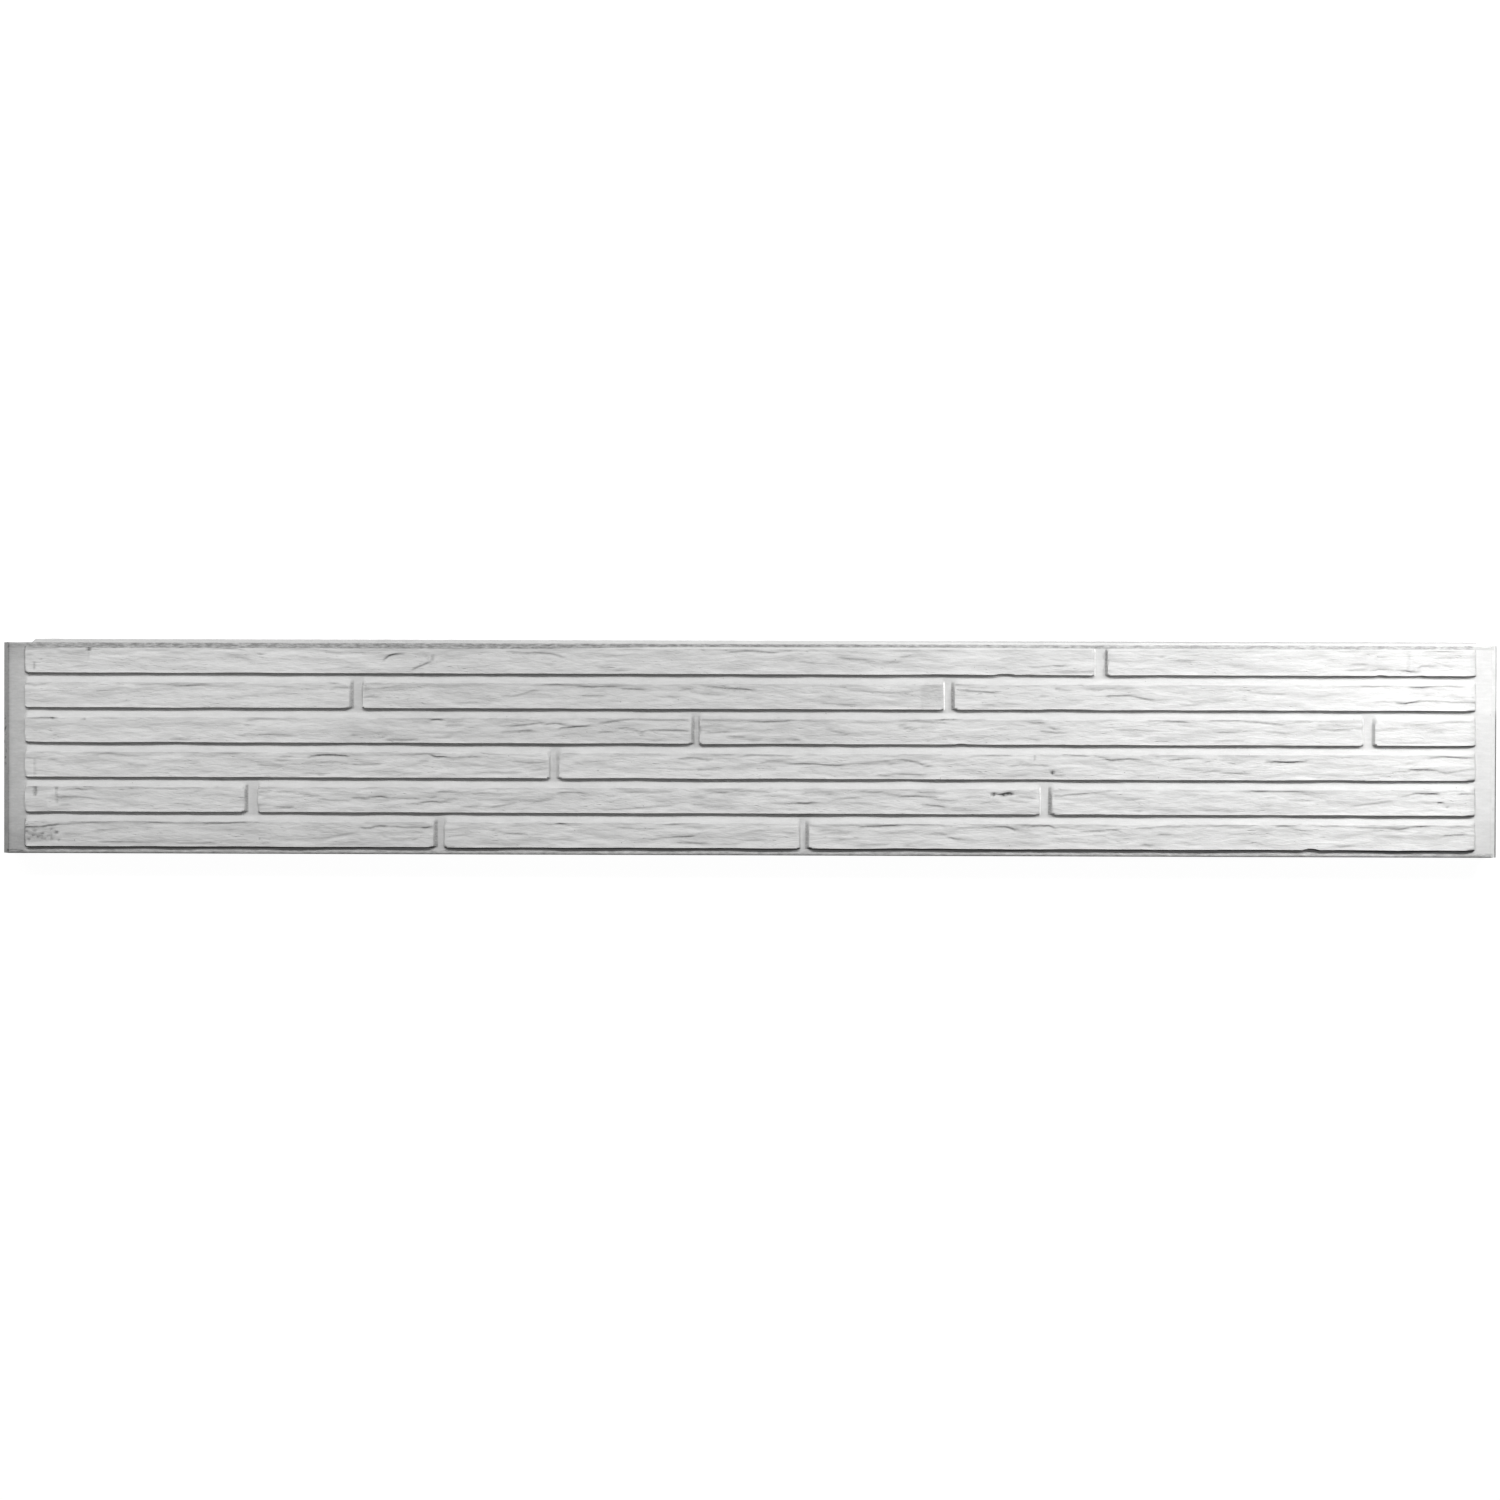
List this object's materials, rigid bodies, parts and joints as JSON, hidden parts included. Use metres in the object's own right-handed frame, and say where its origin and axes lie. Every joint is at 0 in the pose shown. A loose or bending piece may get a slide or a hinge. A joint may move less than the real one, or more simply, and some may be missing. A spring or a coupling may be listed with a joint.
{
  "type": "concrete fence slab",
  "caption": "Cast concrete fence slab with courses of raised split-stone strips, plain end flanges, a tongue along the top edge and a groove along the bottom edge.",
  "frame": {"origin": "on the flat back, below the middle of the slab's outline with its tongue", "axes": "+X along the slab, +Y from the grooved bottom edge to the tongue, +Z out of the back towards the strips"},
  "size_m": [1.84, 0.265, 0.048],
  "materials": {
    "concrete": "matt light grey concrete as cast, with fine wrinkled split-stone texture, pinholes and faint dirt"
  },
  "bodies": {
    "root": {"fence_slab": "concrete"}
  },
  "joints": []
}
